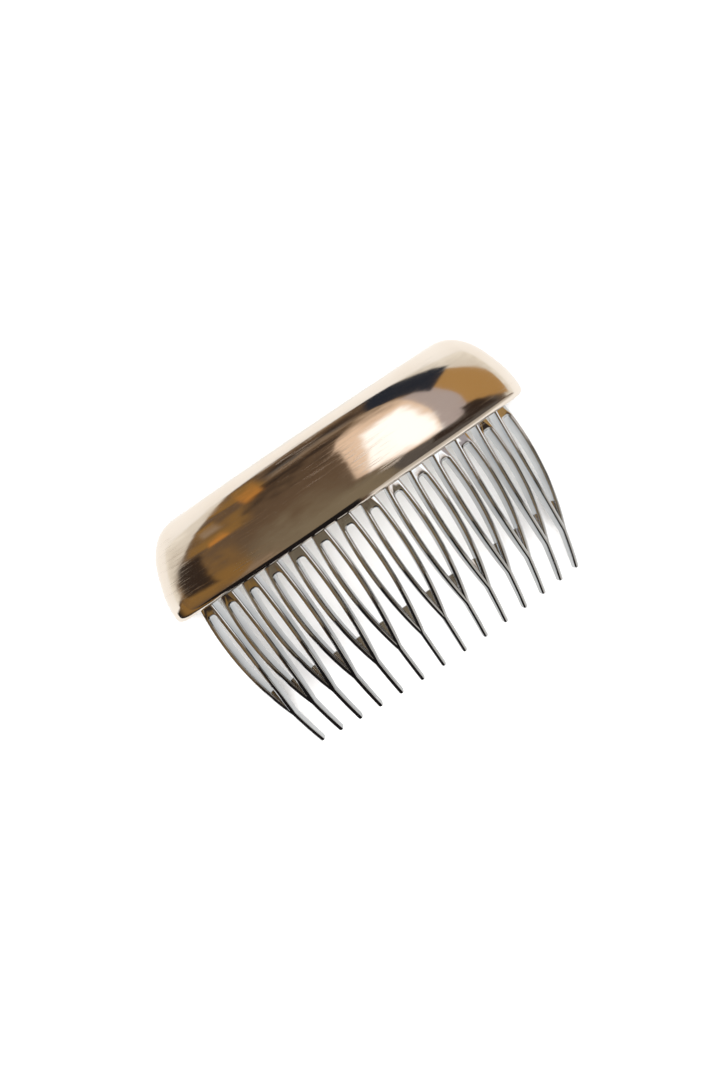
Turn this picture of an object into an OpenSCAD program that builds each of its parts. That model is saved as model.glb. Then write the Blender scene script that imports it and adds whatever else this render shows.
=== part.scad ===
// Decorative hair side comb: a domed metal cover over a plated comb with forked teeth.
// It lies on its hollow side. X runs along the arch, the teeth point towards -Y, Z is up.
// The arch is round an axis that lies along Y, below the surface that the comb rests on.

/* [Arch] */
// Radius from the arch axis to the front face of the comb's spine
arch_r = 71; // [60:0.5:95]
// Number of teeth
teeth = 14; // [8:1:16]
// Distance from tooth to tooth, along the spine's front face
tooth_pitch = 6.03; // [5.2:0.01:6.4]

/* [Teeth] */
// Length of a tooth from the top of its slot to its tip
tooth_len = 35.8; // [28:0.1:44]
// Radius of the curve that bends a tooth towards the head
bend_r = 77; // [60:1:120]
// How far below the top of the slot the bend starts
bend_start = 2; // [0:0.5:6]
// Width of one leg of the fork
leg_w = 1.1; // [0.8:0.05:1.4]
// Radius of the bow of a leg
leg_bow_r = 95; // [80:1:120]
// Widest distance between the middles of a tooth's two legs
fork_w = 3.58; // [3:0.02:4]
// How far below the top of the slot the fork is widest
fork_wide_at = 8.4; // [6:0.1:11]
// Width of a tooth where it leaves the spine
root_w = 3.7; // [3.2:0.1:4.4]
// Width of the single point below the fork
tip_w = 1.1; // [0.8:0.05:1.4]
// Depth of the point, front to back
tip_d = 1.4; // [1:0.1:1.8]
// Radius in the top corners of a slot
slot_corner_r = 0.6; // [0.3:0.05:0.8]
// Height of the small web in the bottom of a fork
web_h = 3.4; // [2:0.1:5]

/* [Spine] */
// Depth of the spine, front to back
spine_d = 3; // [2.4:0.1:4]
// Height of the spine bar
spine_h = 8.2; // [7:0.1:9.5]

/* [Cover] */
// Thickness of the cover's metal
cover_t = 0.8; // [0.5:0.05:1]
// Height of the tooth roots that show below the cover's lower lip
root_show = 2; // [1:0.1:3]
// Radius of the rolled lower lip
lip_r = 1.6; // [1.2:0.1:2]
// Radius of the cover's front
front_r = 19.5; // [16:0.5:26]
// Radius where the front turns over
shoulder_r = 13; // [10:0.5:16]
// Radius of the turned-over back edge
back_r = 6.5; // [5:0.25:8]
// Length of the cover along its crown
cover_len = 87.6; // [84:0.1:100]
// Slant of the cover's ends, on top of what its falling back edge gives
end_slant = 14.5; // [0:0.5:24]
// Radius of the rolled ends
end_r = 8; // [6:0.5:10]

/* [Back and fixings] */
// Thickness of the back plate
plate_t = 0.7; // [0.5:0.05:1]
// Diameter of a stud's shank
stud_d = 2; // [1.6:0.1:2.4]
// Diameter of a stud's foot and of its peened head
stud_foot_d = 3.4; // [3:0.1:4]
// Angle round the arch from the middle stud to the outer ones
stud_angle = 20; // [12:1:24]
// Thickness of a washer
washer_t = 0.5; // [0.3:0.05:0.8]
// Outside diameter of a washer
washer_d = 4.6; // [4.4:0.1:6]
// Clearance round what seats in the cover
fit = 0.1; // [0.05:0.05:0.2]

/* [Hidden] */
far = 100;

// Teeth: each is built upright on the arch's crown, then turned into place. They are set back
// a little from the spine's two faces.
set_back = 0.1;
pitch_a = tooth_pitch / arch_r * 180 / PI;
last_a = pitch_a * (teeth - 1) / 2;
spine_half_a = last_a + root_w / 2 / arch_r * 180 / PI;
leg_axis_x = leg_bow_r - fork_w / 2;
slot_r = leg_bow_r - leg_w / 2;
slot_low_y = -fork_wide_at - sqrt(pow(slot_r, 2) - pow(leg_axis_x, 2));
slot_top_w = 2 * (sqrt(pow(slot_r, 2) - pow(fork_wide_at, 2)) - leg_axis_x);
tooth_r = arch_r - set_back;
tooth_d = spine_d - 2 * set_back;
tip_a = asin((tooth_len - bend_start - tip_d / 2) / (bend_r - tip_d / 2));
// The back of a tooth is an arc too, from the root's depth to the point's depth.
taper_run = (bend_r - tip_d) * sin(tip_a);
taper_drop = bend_r - tooth_d - (bend_r - tip_d) * cos(tip_a);
taper_r = (pow(taper_run, 2) + pow(taper_drop, 2)) / (2 * taper_drop);
// The round end seen from the front passes a little beyond the one seen from the side.
tip_end_y = -tooth_len + tip_w / 2 - 0.15;
tip_low = bend_r - (bend_r - tip_d / 2) * cos(tip_a) + tip_d / 2;

// How far the web lies behind the front, at its low end and at its top.
web_low_back = 0.4;
web_top_back = 1.6;

// The comb rests on the points of its outer teeth and on the cover's ends, at Z = 0.
rest_r = (tooth_r - tip_low) * cos(last_a) - tip_w / 2 * sin(last_a);

// Cover: its cross-section is four arcs, each tangent to the next, with a short flat at the lip.
// A section point is [radius from the arch axis, Y].
lip_gap = 0.15;
lip_flat = 0.25;
lip_y = root_show;
arc_from = [-90, -12, 25, 45];
arc_to = [-12, 25, 45, 90];
arc_r = [lip_r, front_r, shoulder_r, back_r];
arc_steps = [4, 7, 3, 5];
centres = [for (i = 0, p = [arch_r + lip_gap + lip_flat, lip_y]; i < 4;
    p = p + arc_r[i] * (dir(arc_to[i]) - dir(arc_from[i])), i = i + 1)
    p - arc_r[i] * dir(arc_from[i])];
crown_r = centres[1][0] + front_r;
cover_back_y = centres[3][1] + back_r;
back_low_r = centres[3][0] - 0.5;
spine_y = root_show + cover_t + fit;
base_r = arch_r - spine_d - fit - plate_t;
base_step_y = spine_y + spine_h + 0.5;

// Ends: the section turns down round the end radius, less where the section is lower.
roll_a = asin((cover_len / 2 - end_r) / (crown_r - end_r));
crown_y = centres[1][1];
roll_steps = 7;
arch_steps = 36;

middle_y = (cover_back_y - tooth_len) / 2;
stud_y = spine_y + spine_h / 2;
bore_d = stud_d + 2 * fit;
// Radius at which the washers' backs lie, clear of the plate's curve.
washer_r = base_r - fit - washer_t;
head_h = 0.9;
// The layer of solder between a stud's foot and the inside of the cover.
solder = 0.02;

function dir(a) = [cos(a), sin(a)];

// The cover's section, from its lip round to its back edge, inset by the metal's thickness.
function section(inset) = concat(
    [[arch_r + lip_gap, lip_y + inset]],
    [for (i = [0:3]) for (k = [0:arc_steps[i] - 1])
        let(a = arc_from[i] + (arc_to[i] - arc_from[i]) * k / arc_steps[i])
        centres[i] + (arc_r[i] - inset) * dir(a)],
    [[centres[3][0], cover_back_y - inset], [back_low_r, cover_back_y - inset]]);

// Radius at which the hollow ends behind a section point, and the roll that this leaves.
function base_at(y) = y < base_step_y ? base_r
    : base_r + (back_low_r - base_r) * (y - base_step_y) / (cover_back_y - base_step_y);
function roll_r(p) = end_r * (p[0] - base_at(p[1])) / (crown_r - base_r);
function end_angle(y) = roll_a - (y - crown_y) * tan(end_slant) / arch_r * 180 / PI;

// One row of points across the cover: at a share s of the arch, rolled down by the angle a.
function row(s, a, inset) = let(outer = section(0), p = section(inset))
    [for (j = [0:len(p) - 1]) let(e = s * end_angle(outer[j][1]),
        r = roll_r(outer[j]) - outer[j][0] + p[j][0],
        out = p[j][0] - r + r * cos(a), along = sign(s) * r * sin(a))
        [out * sin(e) + along * cos(e), p[j][1], out * cos(e) - along * sin(e)]];
// An end's lower edge: flat where it rests, then rising to meet the back edge.
function foot(s, inset) = let(low = row(s, 90 - roll_a, inset), back_z = low[len(low) - 1][2])
    [for (p = low) let(rise = (p[1] - base_step_y) / (cover_back_y - base_step_y))
        [p[0], p[1], rest_r + max(rise, 0) * (back_z - 0.3 - rest_r)]];
function rows(inset) = concat(
    [foot(-1, inset)],
    [for (k = [roll_steps:-1:1]) row(-1, (90 - roll_a) * k / roll_steps, inset)],
    [for (k = [0:arch_steps]) row(2 * k / arch_steps - 1, 0, inset)],
    [for (k = [1:roll_steps]) row(1, (90 - roll_a) * k / roll_steps, inset)],
    [foot(1, inset)]);

// Moves a shape from the arch's own place, with its axis at the origin, onto the surface.
module settle() {
    translate([0, -middle_y, -rest_r]) children();
}

// Turns a section, drawn as radius and Y, round the arch.
module sweep(half_a) {
    rotate([-90, 0, 0]) rotate([0, 0, -90 - half_a])
        rotate_extrude(angle = 2 * half_a, $fn = 360) children();
}

// Extrudes a side view, drawn as Y and Z, along X.
module side_on(w) {
    rotate([90, 0, 90]) translate([0, 0, -w / 2]) linear_extrude(w) children();
}

// What is common to two circles on either side of the tooth's middle line.
module lens(r, x, y) {
    intersection_for (s = [-1, 1]) translate([s * x, y]) circle(r, $fn = 720);
}

module tooth_front() {
    difference() {
        lens(leg_bow_r + leg_w / 2, leg_axis_x, -fork_wide_at);
        translate([-far, spine_y + 1]) square([2 * far, far]);
    }
    translate([-root_w / 2, -1]) square([root_w, spine_y + 2]);
    translate([-tip_w / 2, tip_end_y]) square([tip_w, slot_low_y - tip_end_y]);
    translate([0, tip_end_y]) circle(tip_w / 2, $fn = 48);
}

module slot_front() {
    corner_x = slot_top_w / 2 - slot_corner_r;
    intersection() {
        lens(slot_r, leg_axis_x, -fork_wide_at);
        union() {
            translate([-far, -slot_corner_r - far]) square([2 * far, far]);
            translate([-corner_x, -far]) square([2 * corner_x, far]);
            for (s = [-1, 1])
                translate([s * corner_x, -slot_corner_r]) circle(slot_corner_r, $fn = 48);
        }
    }
}

// Side view of a tooth: straight at the root, then a crescent that ends in a round point.
module tooth_side() {
    bend_c = [-bend_start, tooth_r - bend_r];
    out = [-sin(tip_a), cos(tip_a)];
    translate([-bend_start, tooth_r - tooth_d]) square([bend_start + spine_y + 1, tooth_d]);
    intersection() {
        difference() {
            translate(bend_c) circle(bend_r, $fn = 720);
            translate([-bend_start, tooth_r - tooth_d - taper_r]) circle(taper_r, $fn = 720);
        }
        polygon([bend_c, bend_c + 2 * bend_r * out, bend_c + [0, 2 * bend_r]]);
    }
    translate(bend_c + (bend_r - tip_d / 2) * out) circle(tip_d / 2, $fn = 48);
}

// Side view of the web that fills the bottom of the fork: thin at its top, deeper below.
module web_side() {
    low = slot_low_y;
    drop = bend_r - sqrt(pow(bend_r, 2) - pow(-low - bend_start, 2));
    front = tooth_r - drop;
    polygon([[low - 1, front - web_low_back], [low + web_h, front - web_top_back],
        [low + web_h, front - 2 * tooth_d], [low - 1, front - 2 * tooth_d]]);
}

module tooth() {
    difference() {
        intersection() {
            translate([0, 0, arch_r - 20]) linear_extrude(30) tooth_front();
            side_on(2 * root_w) tooth_side();
        }
        difference() {
            translate([0, 0, arch_r - 20]) linear_extrude(30) slot_front();
            side_on(3 * root_w) web_side();
        }
    }
}

// A closed shell between two surfaces, each given as rows of points.
module shell(outer, inner) {
    m = len(outer) - 1;
    n = len(outer[0]) - 1;
    flat = [for (g = [outer, inner]) for (r = g) for (p = r) p];
    function o(i, j) = i * (n + 1) + j;
    function q(i, j) = (m + 1) * (n + 1) + o(i, j);
    quads = concat(
        [for (i = [0:m - 1]) for (j = [0:n - 1])
            each [[o(i, j), o(i, j + 1), o(i + 1, j + 1), o(i + 1, j)],
                [q(i, j), q(i + 1, j), q(i + 1, j + 1), q(i, j + 1)]]],
        [for (i = [0:m - 1]) each [[o(i, 0), o(i + 1, 0), q(i + 1, 0), q(i, 0)],
            [o(i + 1, n), o(i, n), q(i, n), q(i + 1, n)]]],
        [for (j = [0:n - 1]) each [[o(0, j + 1), o(0, j), q(0, j), q(0, j + 1)],
            [o(m, j), o(m, j + 1), q(m, j + 1), q(m, j)]]]);
    polyhedron(flat, [for (f = quads) each [[f[0], f[1], f[2]], [f[0], f[2], f[3]]]]);
}

module dome_shell() {
    color([0.85, 0.78, 0.68]) settle() shell(rows(0), rows(cover_t));
}

module comb() {
    color([0.82, 0.82, 0.84]) settle() difference() {
        union() {
            sweep(spine_half_a)
                translate([arch_r - spine_d, spine_y]) square([spine_d, spine_h]);
            for (i = [0:teeth - 1])
                rotate([0, pitch_a * (i - (teeth - 1) / 2), 0]) tooth();
        }
        at_studs() translate([0, 0, arch_r - 2 * spine_d])
            cylinder(h = 3 * spine_d, d = bore_d, $fn = 48);
    }
}

// Puts a copy at each stud, with Z along the stud and away from the arch axis.
module at_studs() {
    for (a = [-stud_angle, 0, stud_angle])
        rotate([0, a, 0]) translate([0, stud_y, 0]) children();
}

module back_plate() {
    back = arch_r - spine_d - fit;
    bend_y = base_step_y;
    edge_y = cover_back_y - cover_t - fit;
    half = [for (p = foot(1, cover_t + fit)) [p[0], p[1]]];
    outline = concat(half, [for (j = [len(half) - 1:-1:0]) [-half[j][0], half[j][1]]]);
    color([0.72, 0.7, 0.66]) settle() difference() {
        intersection() {
            sweep(40) polygon([[back, spine_y], [back, bend_y], [back_low_r + plate_t, edge_y],
                [back_low_r, edge_y], [back - plate_t, bend_y], [back - plate_t, spine_y]]);
            translate([0, 0, rest_r + fit]) linear_extrude(far) polygon(outline);
        }
        at_studs() translate([0, 0, arch_r - 4 * spine_d])
            cylinder(h = 4 * spine_d, d = bore_d, $fn = 48);
    }
}

// Studs stand on the inside of the cover, and their heads are peened over the washers.
module studs() {
    color([0.75, 0.66, 0.45]) settle() {
        intersection() {
            at_studs() translate([0, 0, arch_r + fit / 2])
                cylinder(h = 10, d = stud_foot_d, $fn = 48);
            sweep(30) polygon(section(cover_t + solder));
        }
        at_studs() {
            translate([0, 0, washer_r]) cylinder(h = arch_r + fit - washer_r, d = stud_d, $fn = 48);
            intersection() {
                translate([0, 0, washer_r - head_h])
                    cylinder(h = head_h, d = stud_foot_d, $fn = 48);
                translate([0, 0, washer_r + 1]) sphere(d = stud_foot_d + 0.4, $fn = 64);
            }
        }
    }
}

module washers() {
    color([0.7, 0.7, 0.72]) settle() at_studs()
        translate([0, 0, washer_r]) difference() {
            cylinder(h = washer_t, d = washer_d, $fn = 64);
            translate([0, 0, -1]) cylinder(h = washer_t + 2, d = bore_d, $fn = 48);
        }
}

dome_shell();
comb();
back_plate();
studs();
washers();
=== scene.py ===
# %% [markdown]
# # A decorative hair side comb
# The comb is a domed metal cover over a one-piece comb with forked teeth. The cover is
# pressed from sheet and polished to a mirror, and the comb is moulded and plated. A plate
# closes the hollow of the cover from behind, and three studs hold everything together.
# The place of the whole comes from the loaded frame, and each size is a named value.

# %% Load the frame
from math import asin, atan, cos, degrees, pi, radians, sin, sqrt

import bmesh
import bpy
from mathutils import Matrix, Vector


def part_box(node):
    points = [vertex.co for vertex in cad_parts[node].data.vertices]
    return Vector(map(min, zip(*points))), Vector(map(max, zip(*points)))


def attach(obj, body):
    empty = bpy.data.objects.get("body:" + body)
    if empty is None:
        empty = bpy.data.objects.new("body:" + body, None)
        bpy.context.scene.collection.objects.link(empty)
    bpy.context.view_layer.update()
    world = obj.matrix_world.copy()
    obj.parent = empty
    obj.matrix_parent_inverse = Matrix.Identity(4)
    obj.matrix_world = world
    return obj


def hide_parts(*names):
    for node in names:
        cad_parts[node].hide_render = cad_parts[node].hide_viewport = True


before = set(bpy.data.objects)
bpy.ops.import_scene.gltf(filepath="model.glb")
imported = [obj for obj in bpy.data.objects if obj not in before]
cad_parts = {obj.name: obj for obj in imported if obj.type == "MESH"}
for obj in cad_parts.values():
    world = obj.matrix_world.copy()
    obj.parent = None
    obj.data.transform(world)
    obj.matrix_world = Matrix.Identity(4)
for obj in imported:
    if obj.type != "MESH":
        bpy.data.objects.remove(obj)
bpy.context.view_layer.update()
mm = 0.001

# %% [markdown]
# Cover and comb are both bent round one long axis, which lies along Y below the surface
# that the comb rests on. Everything is easier to make with that axis at the origin, at the
# top of the arch, where up is simply +Z. Each finished piece is then moved down into place.

# %% Find the arch
ARCH_R = 71 * mm
ROOT_SHOW = 2 * mm
cover_low, cover_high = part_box("dome_shell")
comb_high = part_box("comb")[1]
arch_axis = Vector((0, cover_low.y - ROOT_SHOW, comb_high.z - ARCH_R))
REST_R = -arch_axis.z
COVER_BACK_Y = cover_high.y - arch_axis.y
print("the arch's axis passes through", [round(c / mm, 2) for c in arch_axis])

# %% [markdown]
# Blender's edit-mode tools act on whatever is selected. These few helpers pick corners,
# edges or faces by their place, and give the transform tools one plain form. Without a
# window, rotate and spin turn the other way round, so the sign is changed here, once.
# A pick may miss its place by a hundredth of a millimetre. Only corners that lie much
# nearer together than that are merged.

# %% Helpers for edit mode
near = 0.01 * mm
MERGE = 0.002 * mm


def begin(name):
    """Names the primitive just added, moves its place into its mesh and opens it."""
    piece = bpy.context.object
    piece.name = piece.data.name = name
    bpy.ops.object.transform_apply()
    bpy.ops.object.mode_set(mode="EDIT")
    return piece


def pick(kind, test):
    """Selects the corners, edges or faces whose middle passes the test."""
    bpy.ops.mesh.select_mode(type=kind)
    bpy.ops.mesh.select_all(action="DESELECT")
    mesh = bpy.context.object.data
    shape = bmesh.from_edit_mesh(mesh)
    for part in {"VERT": shape.verts, "EDGE": shape.edges, "FACE": shape.faces}[kind]:
        corners = [part] if kind == "VERT" else part.verts
        middle = sum((corner.co for corner in corners), Vector()) / len(corners)
        part.select_set(bool(test(middle)))
    shape.select_flush_mode()
    bmesh.update_edit_mesh(mesh)


def pick_all():
    bpy.ops.mesh.select_all(action="SELECT")


def turn(angle, axis, about=(0, 0, 0)):
    bpy.ops.transform.rotate(value=-angle, orient_axis=axis, center_override=about)


def stretch(x, y, z, about=(0, 0, 0)):
    bpy.ops.transform.resize(value=(x, y, z), center_override=about)


def move(x, y, z):
    bpy.ops.transform.translate(value=(x, y, z))


def extrude(y=0, z=0):
    bpy.ops.mesh.extrude_region_move(TRANSFORM_OT_translate={"value": (0, y, z)})


def spin(angle, steps, axis, about=(0, 0, 0)):
    bpy.ops.mesh.spin(steps=steps, angle=-angle, axis=axis, center=about, use_auto_merge=False)


def cut(about, facing, **sides):
    """Cuts the whole mesh with a plane. The default tolerance is far too coarse here."""
    pick_all()
    bpy.ops.mesh.bisect(plane_co=about, plane_no=facing, threshold=1e-4 * mm, **sides)


def tidy():
    """Merges corners that lie on each other and turns all faces outwards."""
    pick_all()
    bpy.ops.mesh.remove_doubles(threshold=MERGE)
    bpy.ops.mesh.normals_make_consistent(inside=False)


def settle(piece):
    """Moves a piece from the arch's own place to where it belongs, and closes it."""
    pick_all()
    move(*arch_axis)
    bpy.ops.object.mode_set(mode="OBJECT")
    return piece


def apply(piece, kind, **values):
    """Adds a modifier, sets it and applies it."""
    bpy.context.view_layer.objects.active = piece
    modifier = piece.modifiers.new(kind.title(), kind)
    for name, value in values.items():
        setattr(modifier, name, value)
    bpy.ops.object.modifier_apply(modifier=modifier.name)


def face_up(piece):
    """Turns the faces of an open sheet over if its highest one looks down."""
    if max(piece.data.polygons, key=lambda face: face.center.z).normal.z < 0:
        piece.data.flip_normals()


def break_edges(piece, width):
    """Gives every sharp edge a narrow round, as a polishing wheel does."""
    apply(piece, "BEVEL", width=width, segments=2, limit_method="ANGLE", angle_limit=radians(50))


def finish(piece, material, angle=30):
    """Smooths the shading, gives the material and hands the piece to the frame."""
    bpy.ops.object.select_all(action="DESELECT")
    piece.select_set(True)
    bpy.context.view_layer.objects.active = piece
    bpy.ops.object.shade_smooth_by_angle(angle=radians(angle))
    piece.data.materials.clear()
    piece.data.materials.append(material)
    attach(piece, "root")
    bpy.ops.object.select_all(action="DESELECT")
    triangles = sum(len(face.vertices) - 2 for face in piece.data.polygons)
    print(piece.name, "is done, with", triangles, "triangles")


bpy.ops.object.select_all(action="DESELECT")
print("helpers are ready")

# %% [markdown]
# ## The domed cover
# The cover is one pressing. Its cross-section is a tight roll at the lip, a wide front, a
# rounder shoulder and a tight turn over to the back. One edge is enough to start from: its
# upper corner is spun round the middle of each arc in turn, which draws the section.

# %% Draw the cover's section
LIP_GAP = 0.15 * mm
LIP_FLAT = 0.25 * mm
BACK_FLAT = 0.5 * mm
FRONT_R = 19.5 * mm
SECTION_ARCS = [
    # radius, angle where the arc ends, steps
    (1.6 * mm, radians(-12), 5),
    (FRONT_R, radians(25), 8),
    (13 * mm, radians(45), 4),
    (6.5 * mm, radians(90), 5),
]
bpy.ops.mesh.primitive_plane_add(
    size=LIP_FLAT,
    location=(0, ROOT_SHOW + LIP_FLAT / 2, ARCH_R + LIP_GAP + LIP_FLAT / 2),
    rotation=(0, pi / 2, 0),
)
cover = begin("domed_cover")
pick("VERT", lambda p: p.y > ROOT_SHOW + LIP_FLAT / 2)
bpy.ops.mesh.delete(type="VERT")
pick("VERT", lambda p: p.z > ARCH_R + LIP_GAP + LIP_FLAT / 2)
corner = Vector((0, ROOT_SHOW, ARCH_R + LIP_GAP + LIP_FLAT))
facing = radians(-90)
for radius, last, steps in SECTION_ARCS:
    centre = corner - radius * Vector((0, sin(facing), cos(facing)))
    spin(last - facing, steps, (-1, 0, 0), centre)
    corner = centre + radius * Vector((0, sin(last), cos(last)))
    facing = last
    if radius == FRONT_R:
        CROWN_Y, CROWN_R = centre.y, centre.z + FRONT_R
extrude(z=-BACK_FLAT)
BACK_R = corner.z - BACK_FLAT
print("the crown is", round(CROWN_R / mm, 2), "mm from the arch's axis")

# %% [markdown]
# Now the section is drawn out along the arch, one step at a time. The ends of the cover are
# slanted: the lip is longer than the back. So each new row is brought to the top of the
# arch, slanted a little more, and put back one step further on.

# %% Draw the section out along the arch
COVER_LEN = 87.6 * mm
END_R = 8 * mm
END_SLANT = radians(14.5)
ARCH_STEPS = 16
reach = asin((COVER_LEN / 2 - END_R) / (CROWN_R - END_R))
crown = Vector((0, CROWN_Y, CROWN_R))
pick_all()
for step in range(ARCH_STEPS):
    before, after = (END_SLANT * (step + k) / ARCH_STEPS for k in (0, 1))
    extrude()
    turn(-reach * step / ARCH_STEPS, "Y")
    turn(after - before, "Z", crown)
    stretch(1, cos(before) / cos(after), 1, crown)
    turn(reach * (step + 1) / ARCH_STEPS, "Y")
print("half of the cover spans", round(degrees(reach), 1), "degrees of the arch")

# %% [markdown]
# The end is rolled over. A tall part of the section needs a wide roll and the low back edge
# hardly any, so each corner of the last row is told the middle of its own roll. Extruding
# hands that note on to the new corners, which then turn round their own middles. The last
# row is pulled straight down and pressed flat on the surface that the comb rests on, and
# behind the spine this foot rises to meet the back edge.

# %% Roll the end over and give it a foot
ROLL_STEPS = 9
FOOT_Y = 11.6 * mm
INNER_R = 67.2 * mm
FOOT_RISE = 2.3 * mm


def inner_r(y):
    """Radius of the line that the roll stands on, which slopes down to the back edge."""
    share = (y - FOOT_Y) / (COVER_BACK_Y - FOOT_Y)
    return INNER_R + max(share, 0) * (BACK_R - INNER_R)


shape = bmesh.from_edit_mesh(cover.data)
middle = shape.verts.layers.float_vector.new("roll_middle")
for corner in shape.verts:
    outwards = Vector((corner.co.x, 0, corner.co.z))
    height = outwards.length - inner_r(corner.co.y)
    corner[middle] = corner.co - outwards.normalized() * height * END_R / (CROWN_R - INNER_R)
bmesh.update_edit_mesh(cover.data)
step_turn = Matrix.Rotation((pi / 2 - reach) / ROLL_STEPS, 3, "Y")
for step in range(ROLL_STEPS):
    extrude()
    shape = bmesh.from_edit_mesh(cover.data)
    middle = shape.verts.layers.float_vector["roll_middle"]
    for corner in shape.verts:
        if corner.select:
            corner.co = step_turn @ (corner.co - corner[middle]) + corner[middle]
    bmesh.update_edit_mesh(cover.data)
extrude()
stretch(1, 1, 0, (0, 0, REST_R))
pick("VERT", lambda p: p.z < REST_R + near and p.y > FOOT_Y)
turn(atan(FOOT_RISE / (COVER_BACK_Y - FOOT_Y)), "X", (0, FOOT_Y, REST_R))
tidy()
settle(cover)
print("half of the cover has", len(cover.data.polygons), "faces")

# %% [markdown]
# The other half is a mirror image. Subdivision makes the sheet smooth enough for a mirror
# finish, Solidify gives it the thickness of the metal towards the hollow side, and a small
# bevel breaks the sharp edge all round, as the polishing wheel does.

# %% Finish the cover's shape
COVER_T = 0.8 * mm
EDGE_BREAK = 0.14 * mm
apply(cover, "MIRROR", use_axis=(True, False, False), merge_threshold=near)
bpy.ops.object.mode_set(mode="EDIT")
tidy()
bpy.ops.object.mode_set(mode="OBJECT")
face_up(cover)
apply(cover, "SUBSURF", levels=2, render_levels=2, boundary_smooth="PRESERVE_CORNERS")
apply(cover, "SOLIDIFY", thickness=COVER_T, offset=-1, use_even_offset=True)
break_edges(cover, EDGE_BREAK)
print("the cover measures", [round(size / mm, 1) for size in cover.dimensions], "mm")

# %% [markdown]
# ## The comb
# All fourteen teeth are alike. A tooth starts as one short edge across a leg of its fork,
# at the widest place. Spun round a far centre it draws the whole bowed leg as a flat strip,
# first up to the root and then down to where the two legs meet in a single point.

# %% Draw one leg of a tooth
TEETH = 14
TOOTH_PITCH = 6.03 * mm
TOOTH_LEN = 35.8 * mm
LEG_W = 1.1 * mm
LEG_BOW_R = 95 * mm
FORK_W = 3.58 * mm
FORK_WIDE_Y = -8.4 * mm
TOOTH_D = 2.8 * mm
TIP_D = 1.4 * mm
SET_BACK = 0.1 * mm
ROOT_Y = 3.4 * mm
front_z = ARCH_R - SET_BACK
bow_centre = Vector((FORK_W / 2 - LEG_BOW_R, FORK_WIDE_Y, front_z))
bpy.ops.mesh.primitive_plane_add(
    size=LEG_W, location=(FORK_W / 2, FORK_WIDE_Y + LEG_W / 2, front_z)
)
comb = begin("forked_comb")
pick("VERT", lambda p: p.y > FORK_WIDE_Y + LEG_W / 2)
bpy.ops.mesh.delete(type="VERT")
to_slot_top = asin(-FORK_WIDE_Y / LEG_BOW_R)
to_root = asin((ROOT_Y - FORK_WIDE_Y) / LEG_BOW_R)
close_angle = asin(sqrt(LEG_BOW_R ** 2 - bow_centre.x ** 2) / LEG_BOW_R)
pick_all()
spin(to_slot_top, 4, (0, 0, 1), bow_centre)
spin(to_root - to_slot_top, 2, (0, 0, 1), bow_centre)
pick("VERT", lambda p: abs(p.y - FORK_WIDE_Y) < 0.01 * mm)
spin(-close_angle, 12, (0, 0, 1), bow_centre)
print("the legs close", round(degrees(close_angle), 1), "degrees below the widest place")

# %% [markdown]
# Below the fork the strip is straightened and pulled down to the tip. The root is widened
# to the middle line of the tooth, and then the flat outline is extruded to its depth.

# %% Complete the outline and give it depth
TIP_STEPS = 6
TIP_BLEND = 0.8 * mm
ROOT_FROM_Y = -0.04 * mm
back_z = front_z - TOOTH_D
close_y = FORK_WIDE_Y - LEG_BOW_R * sin(close_angle)
straight_y = close_y - TIP_BLEND
turn(close_angle, "Z", (0, close_y, front_z))
extrude(y=straight_y - close_y)
for step in range(TIP_STEPS):
    extrude(y=(-TOOTH_LEN - straight_y) / TIP_STEPS)
pick("EDGE", lambda p: p.y > ROOT_FROM_Y and p.x < FORK_W / 2 - LEG_W / 2)
extrude()
stretch(0, 1, 1)
pick_all()
extrude(z=-TOOTH_D)
tidy()
pick_all()
bpy.ops.mesh.dissolve_limited(angle_limit=radians(0.5))
bpy.ops.object.mode_set(mode="OBJECT")
print("the leg has", len(comb.data.polygons), "faces before it is rounded")
bpy.ops.object.mode_set(mode="EDIT")

# %% [markdown]
# Bevels turn the square leg into a moulded one. The tall edges at the slot's upper corner
# and at the tip come first. Then every front edge gets a wide round, which makes the front
# of each leg half round, and the back edges get a narrow one.

# %% Round the slot, the tip and the front
SLOT_CORNER_R = 0.6 * mm
TIP_ROUND = 0.45 * LEG_W
FRONT_ROUND = 0.48 * mm
BACK_ROUND = 0.2 * mm
slot_top_x = LEG_BOW_R * cos(to_slot_top) + bow_centre.x - LEG_W / 2
mid_z = (front_z + back_z) / 2


def is_tall(p):
    return abs(p.z - mid_z) < near


def is_outline(p):
    """True off the tooth's middle line, where the root's open side lies."""
    return not (abs(p.x) < near and p.y > near)


pick("EDGE", lambda p: is_tall(p) and abs(p.y) < 20 * near and abs(p.x - slot_top_x) < 10 * near)
bpy.ops.mesh.bevel(offset=SLOT_CORNER_R, segments=4, affect="EDGES")
pick("EDGE", lambda p: is_tall(p) and p.y < -TOOTH_LEN + near)
bpy.ops.mesh.bevel(offset=TIP_ROUND, segments=4, affect="EDGES")
for level, width, steps in ((front_z, FRONT_ROUND, 4), (back_z, BACK_ROUND, 2)):
    bpy.ops.mesh.select_mode(type="EDGE")
    bpy.ops.mesh.select_all(action="DESELECT")
    bpy.ops.mesh.edges_select_sharp(sharpness=radians(60))
    shape = bmesh.from_edit_mesh(comb.data)
    for edge in shape.edges:
        middle = (edge.verts[0].co + edge.verts[1].co) / 2
        if abs(middle.z - level) > near or not is_outline(middle):
            edge.select_set(False)
    bmesh.update_edit_mesh(comb.data)
    bpy.ops.mesh.bevel(offset=width, segments=steps, affect="EDGES", clamp_overlap=False)
print("the rounded leg has", len(bmesh.from_edit_mesh(comb.data).faces), "faces")

# %% [markdown]
# The back is tilted so that the leg gets thinner towards its tip. Whatever reaches over the
# middle line is cut off, and the mirror image brings the second leg: below the fork the two
# rounded fronts run together and leave the fine groove that the real teeth have.

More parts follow.
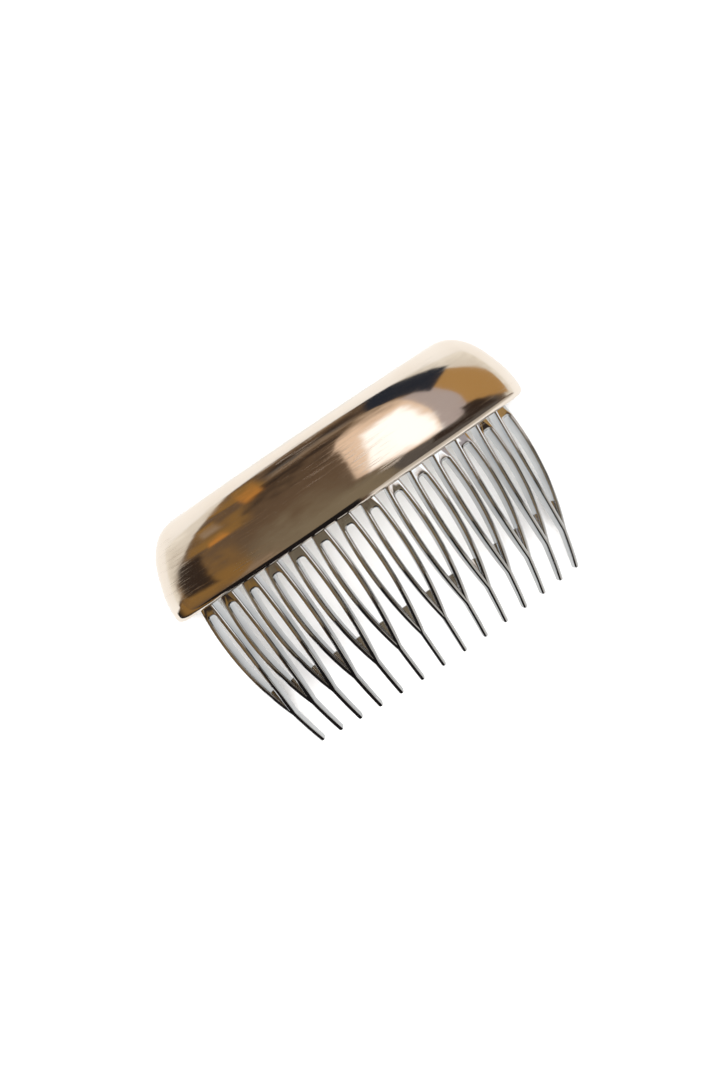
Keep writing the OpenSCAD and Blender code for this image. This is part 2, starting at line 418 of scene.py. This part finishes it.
# %% Thin the tooth and mirror it
BEND_START_Y = -2 * mm
pick("VERT", lambda p: p.z < mid_z and p.y < BEND_START_Y)
turn(-atan((TOOTH_D - TIP_D) / (TOOTH_LEN + BEND_START_Y)), "X", (0, BEND_START_Y, back_z))
cut((0, 0, 0), (1, 0, 0), clear_inner=True)
pick("FACE", lambda p: abs(p.x) < near)
bpy.ops.mesh.delete(type="ONLY_FACE")
bpy.ops.object.mode_set(mode="OBJECT")
apply(comb, "MIRROR", use_axis=(True, False, False), merge_threshold=near)
bpy.ops.object.mode_set(mode="EDIT")
tidy()
bpy.ops.object.mode_set(mode="OBJECT")
print("the tooth has", len(comb.data.polygons), "faces")

# %% [markdown]
# A small sloping web fills the bottom of each fork, well behind the front. It is a block
# whose upper front edge is pushed back, joined to the legs by a Boolean union.

# %% Fill the bottom of the fork with a web
WEB_H = 3.4 * mm
WEB_TOP_SET_BACK = 1.5 * mm
WEB_LOW_SET_BACK = 0.5 * mm
WEB_BACK = 1.9 * mm
WEB_W = 1.5 * mm
WEB_BELOW = 0.7 * mm
WEB_LOW_SHARE = 0.3
slot_r = LEG_BOW_R - LEG_W / 2
slot_low_y = FORK_WIDE_Y - sqrt(slot_r ** 2 - bow_centre.x ** 2)
web_low_y = slot_low_y - WEB_BELOW
web_top_y = slot_low_y + WEB_H
web_middle = Vector((
    0, (web_low_y + web_top_y) / 2, front_z - (WEB_LOW_SET_BACK + WEB_BACK) / 2
))
bpy.ops.mesh.primitive_cube_add(size=WEB_W, location=web_middle)
web = begin("web")
stretch(1, (web_top_y - web_low_y) / WEB_W, (WEB_BACK - WEB_LOW_SET_BACK) / WEB_W, web_middle)
pick("VERT", lambda p: p.y > web_top_y - near and p.z > front_z - WEB_LOW_SET_BACK - near)
move(0, 0, WEB_LOW_SET_BACK - WEB_TOP_SET_BACK)
pick("VERT", lambda p: p.y < web_low_y + near)
stretch(WEB_LOW_SHARE, 1, 1)
bpy.ops.object.mode_set(mode="OBJECT")
apply(comb, "BOOLEAN", object=web, operation="UNION", solver="EXACT")
bpy.data.objects.remove(web)
print("the tooth with its web has", len(comb.data.polygons), "faces")

# %% [markdown]
# The tooth is bent towards the head like a strip over a former: everything below a line is
# turned a little round that line, and then the same is done one line further down. The
# tip's rounding takes a little off its length, and the bend is a little longer to make up.

# %% Bend the tooth
BEND_R = 82 * mm
BEND_STEPS = 14
ROUNDED_OFF = 0.35 * mm
run = TOOTH_LEN + BEND_START_Y
bend = asin((run + ROUNDED_OFF) / BEND_R)
bpy.ops.object.mode_set(mode="EDIT")
pick("VERT", lambda p: p.y < BEND_START_Y)
stretch(1, BEND_R * bend / run, 1, (0, BEND_START_Y, front_z))
for step in range(BEND_STEPS):
    cut((0, BEND_START_Y - BEND_R * bend * step / BEND_STEPS, 0), (0, 1, 0))
for step in range(BEND_STEPS):
    pick("VERT", lambda p: p.y < BEND_START_Y - BEND_R * sin(bend * step / BEND_STEPS) - near)
    turn(bend / BEND_STEPS, "X", (
        0,
        BEND_START_Y - BEND_R * sin(bend * step / BEND_STEPS),
        front_z - BEND_R * (1 - cos(bend * step / BEND_STEPS)),
    ))
print("each tooth bends by", round(degrees(bend), 1), "degrees")

# %% [markdown]
# Thirteen copies of the tooth are turned round the arch's axis, each by one more pitch, and
# the spine bar that carries them is a rectangle spun along the arch.

# %% Repeat the tooth and add the spine
SPINE_Y = 2.9 * mm
SPINE_H = 8.2 * mm
SPINE_D = 3 * mm
ROOT_W = 3.7 * mm
SPINE_STEPS = 48
pitch = TOOTH_PITCH / ARCH_R
pick_all()
turn(-pitch * (TEETH - 1) / 2, "Y")
for tooth in range(TEETH - 1):
    bpy.ops.mesh.duplicate()
    turn(pitch, "Y")
bpy.ops.object.mode_set(mode="OBJECT")
spine_half = pitch * (TEETH - 1) / 2 + ROOT_W / 2 / ARCH_R
spine_middle = Vector((0, SPINE_Y + SPINE_H / 2, ARCH_R - SPINE_D / 2))
bpy.ops.mesh.primitive_plane_add(size=SPINE_D, location=spine_middle, rotation=(0, pi / 2, 0))
spine = begin("spine")
stretch(1, SPINE_H / SPINE_D, 1, spine_middle)
turn(-spine_half, "Y")
spin(2 * spine_half, SPINE_STEPS, (0, 1, 0))
tidy()
bpy.ops.object.mode_set(mode="OBJECT")
apply(comb, "BOOLEAN", object=spine, operation="UNION", solver="EXACT")
bpy.data.objects.remove(spine)
bpy.context.view_layer.objects.active = comb
bpy.ops.object.mode_set(mode="EDIT")
settle(comb)
print("the comb measures", [round(size / mm, 1) for size in comb.dimensions], "mm")

# %% [markdown]
# ## The back plate
# The plate is a thin sheet that lies behind the spine and closes the cover. A line with one
# bend in it is spun along the arch and given its thickness. Then it is trimmed all round to
# the hollow of the cover: level at its feet, and with a few straight cuts at each end.

# %% Model the back plate
PLATE_T = 0.7 * mm
FIT = 0.1 * mm
PLATE_REACH = radians(40)
PLATE_STEPS = 40
PLATE_TRIMS = [
    # x and y of a point on the cut, slant of the cut
    (42.9 * mm, 6.4 * mm, radians(2)),
    (42.9 * mm, 6.4 * mm, radians(18)),
    (40.0 * mm, 15.2 * mm, radians(39)),
    (37.2 * mm, 18.6 * mm, radians(66)),
]
plate_r = ARCH_R - SPINE_D - FIT
plate_edge_y = COVER_BACK_Y - COVER_T - FIT
bpy.ops.mesh.primitive_plane_add(
    size=FOOT_Y - SPINE_Y, location=(0, (SPINE_Y + FOOT_Y) / 2, plate_r)
)
plate = begin("back_plate_sheet")
pick("VERT", lambda p: p.x > 0)
bpy.ops.mesh.delete(type="VERT")
pick_all()
stretch(0, 1, 1)
pick("VERT", lambda p: p.y > FOOT_Y - near)
extrude(y=plate_edge_y - FOOT_Y, z=BACK_R + PLATE_T - plate_r)
pick_all()
turn(-PLATE_REACH, "Y")
spin(2 * PLATE_REACH, PLATE_STEPS, (0, 1, 0))
tidy()
bpy.ops.object.mode_set(mode="OBJECT")
face_up(plate)
apply(plate, "SOLIDIFY", thickness=PLATE_T, offset=-1, use_even_offset=True)
bpy.ops.object.mode_set(mode="EDIT")
cut((0, 0, REST_R + FIT), (0, 0, -1), clear_outer=True, use_fill=True)
for x, y, slant in PLATE_TRIMS:
    for side in (-1, 1):
        cut((side * x, y, 0), (side * cos(slant), sin(slant), 0), clear_outer=True, use_fill=True)
bpy.ops.object.mode_set(mode="OBJECT")
break_edges(plate, EDGE_BREAK)
bpy.ops.object.mode_set(mode="EDIT")
settle(plate)
print("the back plate measures", [round(size / mm, 1) for size in plate.dimensions], "mm")

# %% [markdown]
# ## Studs and washers
# A stud is a cylinder whose foot is soldered inside the cover. Its end is peened over a
# washer behind the plate, which leaves a low, slightly faceted head.

# %% Model one stud and one washer, and repeat them
STUD_D = 2 * mm
STUD_FOOT_D = 3.4 * mm
STUD_ANGLE = radians(20)
SOLDER = 0.12 * mm
HEAD_H = 0.9 * mm
HEAD_STEPS = [
    # height as a share of HEAD_H, width as a share of the step before
    (0.45, 0.9),
    (0.3, 0.78),
    (0.15, 0.6),
]
WASHER_D = 4.6 * mm
WASHER_T = 0.5 * mm
WASHER_BREAK = 0.08 * mm
stud_y = SPINE_Y + SPINE_H / 2
washer_r = plate_r - PLATE_T - WASHER_T
foot_low = ARCH_R + FIT / 2
foot_top = CROWN_R - COVER_T - SOLDER
foot_share = STUD_FOOT_D / STUD_D
bore_share = (STUD_D / 2 + FIT) * 2 / WASHER_D


def repeat_at_studs(piece):
    """Copies what was modelled at the top of the arch to the two outer studs."""
    pick_all()
    turn(-STUD_ANGLE, "Y")
    for copy in range(2):
        bpy.ops.mesh.duplicate()
        turn(STUD_ANGLE, "Y")
    settle(piece)


bpy.ops.mesh.primitive_cylinder_add(
    vertices=32, radius=STUD_D / 2, depth=foot_low - washer_r,
    location=(0, stud_y, (foot_low + washer_r) / 2),
)
studs = begin("stud_set")
pick("FACE", lambda p: p.z > foot_low - near)
bpy.ops.mesh.inset(thickness=0)
stretch(foot_share, foot_share, 1, (0, stud_y, foot_low))
extrude(z=foot_top - foot_low)
pick("FACE", lambda p: p.z < washer_r + near)
bpy.ops.mesh.inset(thickness=0)
stretch(foot_share, foot_share, 1, (0, stud_y, washer_r))
for height, width in HEAD_STEPS:
    extrude(z=-HEAD_H * height)
    stretch(width, width, 1, (0, stud_y, washer_r))
tidy()
repeat_at_studs(studs)
bpy.ops.mesh.primitive_cylinder_add(
    vertices=48, radius=WASHER_D / 2, depth=WASHER_T, end_fill_type="NOTHING",
    location=(0, stud_y, washer_r + WASHER_T / 2),
)
washers = begin("washer_set")
for level in (washer_r, washer_r + WASHER_T):
    pick("VERT", lambda p: abs(p.z - level) < near)
    extrude()
    stretch(bore_share, bore_share, 1, (0, stud_y, level))
pick("VERT", lambda p: Vector((p.x, p.y - stud_y)).length < STUD_D / 2 + 2 * FIT)
bpy.ops.mesh.bridge_edge_loops()
tidy()
repeat_at_studs(washers)
break_edges(washers, WASHER_BREAK)
print("studs and washers are made, three of each")

# %% [markdown]
# ## Finishes
# Materials and cards are both mixed from the same few nodes. Two helpers add the nodes that
# come up most often: one for a sum, and one that maps a value from one range to another.


# %% Helpers for node trees
def maths(tree, operation, first, second):
    """Adds a Math node. Each side is a number or the output of another node."""
    node = tree.nodes.new("ShaderNodeMath")
    node.operation = operation
    for socket, value in zip(node.inputs, (first, second)):
        if isinstance(value, (int, float)):
            socket.default_value = value
        else:
            tree.links.new(value, socket)
    return node.outputs["Value"]


def ranged(tree, value, low, high, to_low=0, to_high=1, way="LINEAR"):
    """Maps a value from low and high to two new ends, in a straight or a smooth way."""
    node = tree.nodes.new("ShaderNodeMapRange")
    node.interpolation_type = way
    ends = {"From Min": low, "From Max": high, "To Min": to_low, "To Max": to_high}
    for socket, number in ends.items():
        node.inputs[socket].default_value = number
    tree.links.new(value, node.inputs["Value"])
    return node.outputs["Result"]


print("node helpers are ready")

# %% [markdown]
# Every surface is metal, so its colour lives in its reflections, and the finish is in how
# the mirror is disturbed. One builder makes all of them: a large soft noise varies colour
# and roughness, fine stretched noise lays hairline scratches, and a bump makes the surface
# gently uneven. The numbers differ from finish to finish. The scratches' own noise hardly
# changes with height, or the curve of the surface would chop them into dots.

# %% A builder for metal finishes
SCRATCH_LONG = 40
SCRATCH_UPRIGHT = 0.02
SCRATCH_LEVELS = (0.6, 0.68)
SCRATCH_ROUGHNESS = 0.2
WORN_SHARE = 0.8


def metal(name, colours, roughness, patch, scratch, wave):
    """Metal with patches of two colours, scratches (scale, turns, depth) and waves."""
    material = bpy.data.materials.new(name)
    material.use_nodes = True
    tree = material.node_tree
    shader = tree.nodes["Principled BSDF"]
    shader.inputs["Metallic"].default_value = 1
    place = tree.nodes.new("ShaderNodeTexCoord").outputs["Object"]

    def noise(scale, detail, where=place):
        node = tree.nodes.new("ShaderNodeTexNoise")
        node.inputs["Scale"].default_value = scale
        node.inputs["Detail"].default_value = detail
        tree.links.new(where, node.inputs["Vector"])
        return node.outputs["Fac"]

    def stretched(angle):
        node = tree.nodes.new("ShaderNodeMapping")
        node.inputs["Rotation"].default_value = (0, 0, angle)
        node.inputs["Scale"].default_value = (1 / SCRATCH_LONG, 1, SCRATCH_UPRIGHT)
        tree.links.new(place, node.inputs["Vector"])
        return node.outputs["Vector"]

    patches = noise(patch, 3)
    mix = tree.nodes.new("ShaderNodeMix")
    mix.data_type = "RGBA"
    tree.links.new(ranged(tree, patches, 0.35, 0.65), mix.inputs["Factor"])
    for socket, colour in zip(("A", "B"), colours):
        mix.inputs[socket].default_value = (*colour, 1)
    tree.links.new(mix.outputs["Result"], shader.inputs["Base Color"])

    scratch_scale, turns, depth = scratch
    marks = None
    for angle in turns:
        lines = ranged(tree, noise(scratch_scale, 2, stretched(angle)), *SCRATCH_LEVELS)
        marks = lines if marks is None else maths(tree, "MAXIMUM", marks, lines)
    worn = ranged(tree, noise(patch * WORN_SHARE, 1), 0.45, 0.6, 0.15, 1)
    marks = maths(tree, "MULTIPLY", marks, worn)
    dulled = maths(tree, "MULTIPLY", marks, SCRATCH_ROUGHNESS)
    rough = ranged(tree, patches, 0.3, 0.7, *roughness)
    tree.links.new(maths(tree, "ADD", rough, dulled), shader.inputs["Roughness"])

    wave_scale, wave_depth = wave
    waves = maths(tree, "MULTIPLY", noise(wave_scale, 1), wave_depth)
    grooves = maths(tree, "MULTIPLY", marks, -depth)
    bump = tree.nodes.new("ShaderNodeBump")
    bump.inputs["Strength"].default_value = 1
    bump.inputs["Distance"].default_value = 1
    tree.links.new(maths(tree, "ADD", waves, grooves), bump.inputs["Height"])
    tree.links.new(bump.outputs["Normal"], shader.inputs["Normal"])
    print(name, "is mixed")
    return material


# %% [markdown]
# The cover has a pale champagne plating, polished like a mirror, with hairline scratches in
# three directions. The comb's plating is whiter and follows the small sinks of the moulding.
# The plate is brushed along its length, and studs and washers are plain yellow brass.

# %% Mix the four finishes
champagne = metal("champagne_plating", ((0.90, 0.82, 0.73), (0.87, 0.78, 0.68)),
                  (0.06, 0.1), 90, (3400, (0.3, 1.2, 2.2), 4e-7), (120, 1.2e-5))
silver = metal("silver_plating", ((0.78, 0.80, 0.82), (0.68, 0.70, 0.72)),
               (0.03, 0.08), 160, (3200, (1.5, 1.8), 1e-7), (260, 6e-6))
satin = metal("satin_plating", ((0.80, 0.75, 0.66), (0.72, 0.66, 0.57)),
              (0.24, 0.34), 120, (2400, (0.0, 0.05), 1.5e-6), (200, 4e-6))
brass = metal("plain_brass", ((0.80, 0.66, 0.42), (0.70, 0.56, 0.34)),
              (0.18, 0.3), 300, (3000, (0.4, 1.9), 1e-6), (500, 6e-6))
finish(cover, champagne)
finish(comb, silver, 40)
finish(plate, satin)
finish(studs, brass)
finish(washers, brass)
for piece, node in ((cover, "dome_shell"), (comb, "comb"), (plate, "back_plate"),
                    (studs, "studs"), (washers, "washers")):
    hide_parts(node)

# %% [markdown]
# ## The studio
# The comb lies on a pale floor of matt paper that is lit evenly by a large soft light
# overhead. The floor is a hair below the comb, so that the two surfaces don't fight.

# %% Lay the floor
FLOOR_SIZE = 3
FLOOR_Z = -0.02 * mm
bpy.ops.mesh.primitive_plane_add(size=FLOOR_SIZE, location=(0, 0, FLOOR_Z))
floor = bpy.context.object
floor.name = "floor"
paper = bpy.data.materials.new("white_paper")
paper.use_nodes = True
sheet = paper.node_tree.nodes["Principled BSDF"]
sheet.inputs["Base Color"].default_value = (0.9, 0.9, 0.9, 1)
sheet.inputs["Roughness"].default_value = 0.9
sheet.inputs["Specular IOR Level"].default_value = 0
floor.data.materials.append(paper)
print("the floor is", FLOOR_SIZE, "m wide")

# %% [markdown]
# A white wall stands all round, far away, so that the floor has no dark edge behind it when
# the comb is seen from the side. Only the camera sees the wall: it lights and shades
# nothing, and the polished metal doesn't reflect it.

# %% Raise a backdrop
BACKDROP_R = 0.75
BACKDROP_SIDES = 96


def hide_from(piece, *rays):
    """Makes a piece invisible to the named kinds of ray."""
    for ray in rays:
        setattr(piece, "visible_" + ray, False)


bpy.ops.mesh.primitive_cylinder_add(
    radius=BACKDROP_R, depth=FLOOR_SIZE, vertices=BACKDROP_SIDES, end_fill_type="NOTHING"
)
backdrop = bpy.context.object
backdrop.name = "backdrop"
white = bpy.data.materials.new("white_backdrop")
white.use_nodes = True
glow = white.node_tree.nodes.new("ShaderNodeEmission")
glow.inputs["Color"].default_value = (1, 1, 1, 1)
white.node_tree.links.new(
    glow.outputs["Emission"], white.node_tree.nodes["Material Output"].inputs["Surface"]
)
white.cycles.emission_sampling = "NONE"
backdrop.data.materials.append(white)
hide_from(backdrop, "glossy", "diffuse", "shadow")
print("the backdrop stands", BACKDROP_R, "m away")

# %% [markdown]
# The camera looks down on the comb from about 31 cm, and a little from the cover's side. It
# is rolled so that the arch runs up to the right.

# %% Place the camera
CAMERA_DISTANCE = 307.3 * mm
CAMERA_TARGET = Vector((-2.9, 3.5, 18.5)) * mm
TOWARDS_CAMERA = Vector((-0.0211, 0.0509, 1)).normalized()
ROLL = radians(34.17)
SENSOR = 36
LENS = 50.753
camera_data = bpy.data.cameras.new("camera")
camera_data.sensor_fit = "VERTICAL"
camera_data.sensor_height = SENSOR
camera_data.lens = LENS
camera_data.clip_start = 0.01
camera = bpy.data.objects.new("camera", camera_data)
bpy.context.scene.collection.objects.link(camera)
right = Vector((cos(ROLL), -sin(ROLL), 0))
right = (right - right.dot(TOWARDS_CAMERA) * TOWARDS_CAMERA).normalized()
up = TOWARDS_CAMERA.cross(right)
camera.matrix_world = (
    Matrix.Translation(CAMERA_TARGET + TOWARDS_CAMERA * CAMERA_DISTANCE)
    @ Matrix((right, up, TOWARDS_CAMERA)).transposed().to_4x4()
)
bpy.context.scene.camera = camera
bpy.context.scene.view_settings.view_transform = "Standard"
print("the camera's lens is", round(camera_data.lens, 1), "mm")

# %% [markdown]
# One wide disk overhead lights the floor and the soft shadow under the comb. Reflections
# don't see the disk. Where they meet no card at all, they see the dim, warm room instead.

# %% Light the floor and the room
ROOM_COLOUR = (0.12, 0.08, 0.052, 1)
SKY_SIZE = 1.6
SKY_WATTS = 38
SKY_Z = 1.2
world = bpy.data.worlds.new("room")
bpy.context.scene.world = world
world.use_nodes = True
world.node_tree.nodes["Background"].inputs["Color"].default_value = ROOM_COLOUR
sky_data = bpy.data.lights.new("overhead", "AREA")
sky_data.shape = "DISK"
sky_data.size = SKY_SIZE
sky_data.energy = SKY_WATTS
sky = bpy.data.objects.new("overhead", sky_data)
bpy.context.scene.collection.objects.link(sky)
sky.location = (0, 0, SKY_Z)
sky.visible_glossy = False
print("the overhead light is", SKY_SIZE, "m wide")

# %% [markdown]
# A mirror only looks like metal when there is something to reflect. Plain cards hang round
# the comb, as in a product studio: a bright panel to the right, dark and warm ones round it,
# and white ones low at both sides. Only reflections see them, so the floor stays even. Each
# card fades towards its edges and is a little mottled, so that no edge looks ruled.


# %% A helper that mixes the look of a card
MOTTLE_SCALE = 9


def card_paint(name, low_colour, high_colour, softness):
    """A glow from one colour up to another, which fades out at all four edges."""
    board = bpy.data.materials.new(name)
    board.use_nodes = True
    tree = board.node_tree
    place = tree.nodes.new("ShaderNodeTexCoord")
    apart = tree.nodes.new("ShaderNodeSeparateXYZ")
    tree.links.new(place.outputs["UV"], apart.inputs["Vector"])
    mottle = tree.nodes.new("ShaderNodeTexNoise")
    mottle.inputs["Scale"].default_value = MOTTLE_SCALE
    tree.links.new(place.outputs["Object"], mottle.inputs["Vector"])
    wobble = maths(tree, "SUBTRACT", mottle.outputs["Fac"], 0.5)

    rise = maths(tree, "ADD", apart.outputs["Y"], wobble)
    mix = tree.nodes.new("ShaderNodeMix")
    mix.data_type = "RGBA"
    tree.links.new(ranged(tree, rise, 0.1, 0.9, way="SMOOTHSTEP"), mix.inputs["Factor"])
    mix.inputs["A"].default_value = (*low_colour, 1)
    mix.inputs["B"].default_value = (*high_colour, 1)
    glow = tree.nodes.new("ShaderNodeEmission")
    tree.links.new(mix.outputs["Result"], glow.inputs["Color"])

    to_side, to_end = (maths(tree, "PINGPONG", apart.outputs[way], 0.5) for way in "XY")
    edge = maths(tree, "MINIMUM", to_side, to_end)
    ragged = maths(tree, "ADD", edge, maths(tree, "MULTIPLY", wobble, softness))
    clear = tree.nodes.new("ShaderNodeBsdfTransparent")
    blend = tree.nodes.new("ShaderNodeMixShader")
    tree.links.new(ranged(tree, ragged, 0, softness, way="SMOOTHSTEP"), blend.inputs["Fac"])
    tree.links.new(clear.outputs["BSDF"], blend.inputs[1])
    tree.links.new(glow.outputs["Emission"], blend.inputs[2])
    tree.links.new(blend.outputs["Shader"], tree.nodes["Material Output"].inputs["Surface"])
    board.cycles.emission_sampling = "NONE"
    return board


print("cards can be painted")

# %% [markdown]
# A card's four corners are given as seen from the comb: how many degrees to the right and to
# the back from straight up. So a card can be set by eye, and hung at any distance.

# %% A helper that hangs a card
EYE_Z = 18 * mm


def hang(name, low_colour, high_colour, softness, distance, corners):
    """Hangs a card with its low edge from the first corner to the second."""
    bpy.ops.mesh.primitive_plane_add(size=1)
    card = bpy.context.object
    card.name = card.data.name = name
    for corner, (right_way, back_way) in zip(card.data.vertices, corners):
        lean = radians(sqrt(right_way ** 2 + back_way ** 2))
        level = Vector((right_way, back_way, 0)).normalized() * sin(lean)
        corner.co = (level + Vector((0, 0, cos(lean)))) * distance + Vector((0, 0, EYE_Z))
    card.data.materials.append(card_paint(name, low_colour, high_colour, softness))
    hide_from(card, "camera", "diffuse", "shadow")


print("cards can be hung")

# %% [markdown]
# The large cards hang far away and the small ones nearer, in front of them. The dark ones
# for the lip and the cover's corner are close to the comb, because they draw thin outlines.
# These outlines are painted shade: the cards stand where the metal would reflect the comb's
# own shaded underside and its shadow beside the corner.

# %% Hang the cards
WHITE = (1.3, 1.3, 1.3)
RIM = (0.92, 0.89, 0.82)
PALE = (0.74, 0.70, 0.63)
CREAM = (0.85, 0.82, 0.78)
SAND = (0.50, 0.46, 0.41)
PEACH = (0.84, 0.64, 0.49)
LILAC = (0.44, 0.38, 0.37)
SLATE = (0.022, 0.026, 0.038)
BLACK = (0.012, 0.010, 0.010)
UMBER = (0.036, 0.024, 0.018)
BROWN = (0.13, 0.085, 0.052)
TAUPE = (0.10, 0.088, 0.08)
DUN = (0.21, 0.17, 0.115)
TAN = (0.30, 0.22, 0.15)
GOLD = (0.43, 0.25, 0.09)
AMBER = (0.26, 0.145, 0.045)
ORANGE = (0.50, 0.22, 0.05)
CARDS = [
    # name, low and high colour, softness, distance, directions of the four corners
    ("white_right_front", RIM, PALE, 0.04, 1.3, ((90, -31), (93, 4), (74, -25), (71, 4))),
    ("white_right", RIM, PALE, 0.04, 1.32, ((93, -5), (68, 66), (71, -5), (53, 53))),
    ("white_right_back", RIM, PALE, 0.04, 1.3, ((74, 55), (31, 89), (58, 44), (26, 85))),
    ("white_left_front", RIM, PALE, 0.04, 1.3, ((-93, -8), (-90, 26), (-70, -6), (-66, 24))),
    ("white_left", RIM, PALE, 0.04, 1.32, ((-92, 18), (-64, 68), (-68, 16), (-49, 55))),
    ("white_left_back", RIM, PALE, 0.04, 1.3, ((-69, 61), (-35, 87), (-53, 49), (-29, 81))),
    ("amber_left", AMBER, BROWN, 0.2, 1.25, ((-74, -30), (-34, -28), (-62, 40), (-34, 36))),
    ("amber_back", AMBER, BROWN, 0.12, 1.2, ((-64, 24), (-30, 26), (-44, 67), (-18, 58))),
    ("amber_top", AMBER, BROWN, 0.12, 1.21, ((-46, 62), (-16, 52), (-21, 94), (-18, 92))),
    ("brown_overhead", DUN, BROWN, 0.4, 1.28, ((-48, -24), (14, -24), (-44, 24), (12, 30))),
    ("brown_back", BROWN, UMBER, 0.4, 1.27, ((-40, 16), (12, 16), (-30, 66), (12, 70))),
    ("tan_front_left", TAN, BROWN, 0.3, 1.22, ((-58, -34), (-20, -34), (-50, -6), (-20, -4))),
    ("taupe_front", DUN, DUN, 0.3, 1.25, ((-40, -40), (34, -40), (-34, -4), (30, -2))),
    ("taupe_front_right", TAUPE, TAUPE, 0.1, 1.25, ((12, -40), (72, -36), (4, -8), (74, -10))),
    ("panel_peach", PEACH, PEACH, 0.04, 1.2, ((7, -4), (48, -18), (7, 46), (46, 42))),
    ("panel_peach_top", PEACH, TAN, 0.12, 1.2, ((5, 38), (48, 32), (15, 70), (28, 66))),
    ("panel_white", WHITE, WHITE, 0.16, 1.1, ((12, -7), (47, -17), (16, 42), (37, 44))),
    ("panel_lilac", LILAC, LILAC, 0.08, 1.15, ((43, -18), (58, -11), (35, 52), (52, 40))),
    ("band_slate", SLATE, SLATE, 0.08, 1.0, ((22, 66), (49, 34), (22, 94), (61, 50))),
    ("patch_gold", GOLD, GOLD, 0.06, 1.12, ((58, -2), (77, -23), (49, 38), (58, 50))),
    ("patch_dark_right", UMBER, UMBER, 0.15, 1.05, ((54, -19), (73, -22), (55, -1), (64, -4))),
    ("strip_dark_right", UMBER, UMBER, 0.15, 1.05, ((32, -18), (60, -22), (32, -12), (60, -14))),
    ("streak_low", UMBER, BROWN, 0.15, 1.1, ((-22, 52), (14, 52), (-22, 62), (22, 64))),
    ("streak_tan", TAN, TAUPE, 0.2, 1.15, ((-20, 58), (20, 60), (-20, 74), (22, 74))),
    ("streak_high", UMBER, BROWN, 0.2, 1.1, ((-20, 71), (24, 70), (-20, 86), (24, 84))),
    ("streak_top", TAN, UMBER, 0.1, 1.1, ((-20, 83), (20, 82), (-20, 94), (18, 94))),
    ("stripe_orange", ORANGE, AMBER, 0.2, 1.05, ((-30, 46), (-20, 48), (-31, 88), (-19, 86))),
    ("patch_tan", TAN, AMBER, 0.2, 1.1, ((-51, 40), (-41, 40), (-52, 56), (-42, 58))),
    ("patch_orange", ORANGE, AMBER, 0.2, 1.1, ((-52, 27), (-40, 28), (-50, 39), (-42, 40))),
    ("patch_dark_left", UMBER, UMBER, 0.15, 1.05, ((-71, -12), (-54, -16), (-65, 33), (-53, 32))),
    ("pale_front", CREAM, SAND, 0.04, 1.2, ((7, -91), (88, -34), (7, -26), (74, -26))),
    # painted shade: these three dark cards stand in for the comb's shaded underside and its
    # shadow
    ("painted_shade_front", BLACK, BLACK, 0.02, 0.2, ((-84, -36), (6, -95), (-66, -24), (6, -23))),
    ("painted_shade_corner", BLACK, AMBER, 0.03, 0.057, ((-106, 22), (-100, -38), (-93, 19), (-88, -33))),
    ("painted_shade_low", BLACK, BLACK, 0.02, 0.06, ((-99, -42), (6, -107), (-55, -24), (3, -60))),
]
for card_settings in CARDS:
    hang(*card_settings)
print(len(CARDS), "cards hang round the comb")

# %% [markdown]
# The rims and the sides of the teeth look down, and reflect the floor. One more card lies
# flat for them, and its glow is painted floor light. It is dim under the comb, a painted
# shadow where the comb's own shade would be, brightest just round it, and softly dimmer
# further out, a painted fall-off of the light overhead.

# %% Lay a card for the downward reflections
GLOW_STOPS = [
    # distance from GLOW_MIDDLE as a share of GLOW_REACH, brightness
    # the dim first stops paint the comb's shadow, and the last two the fall-off of the light
    (0.03, 0.55),
    (0.08, 0.8),
    (0.13, 1.05),
    (0.25, 1.0),
    (1.0, 0.92),
]
GLOW_REACH = 400 * mm
GLOW_MIDDLE = (0, -10 * mm, 0)
GLOW_TINT = (1, 0.985, 0.96)
LOW_CARD_Z = -0.01 * mm
bpy.ops.mesh.primitive_plane_add(size=FLOOR_SIZE, location=(0, 0, LOW_CARD_Z))
low_card = bpy.context.object
low_card.name = "low_card"
paint = card_paint("low_card", WHITE, WHITE, 0.01)
tree = paint.node_tree
away = tree.nodes.new("ShaderNodeVectorMath")
away.operation = "DISTANCE"
away.inputs[1].default_value = GLOW_MIDDLE
tree.links.new(tree.nodes["Texture Coordinate"].outputs["Object"], away.inputs[0])
ramp = tree.nodes.new("ShaderNodeValToRGB")
tree.links.new(maths(tree, "DIVIDE", away.outputs["Value"], GLOW_REACH), ramp.inputs["Fac"])
while len(ramp.color_ramp.elements) < len(GLOW_STOPS):
    ramp.color_ramp.elements.new(0.5)
for stop, (share, level) in zip(ramp.color_ramp.elements, GLOW_STOPS):
    stop.position = share
    stop.color = (*(level * tint for tint in GLOW_TINT), 1)
tree.links.new(ramp.outputs["Color"], tree.nodes["Emission"].inputs["Color"])
low_card.data.materials.append(paint)
hide_from(low_card, "camera", "diffuse", "shadow")
print("a flat card lies under the comb")
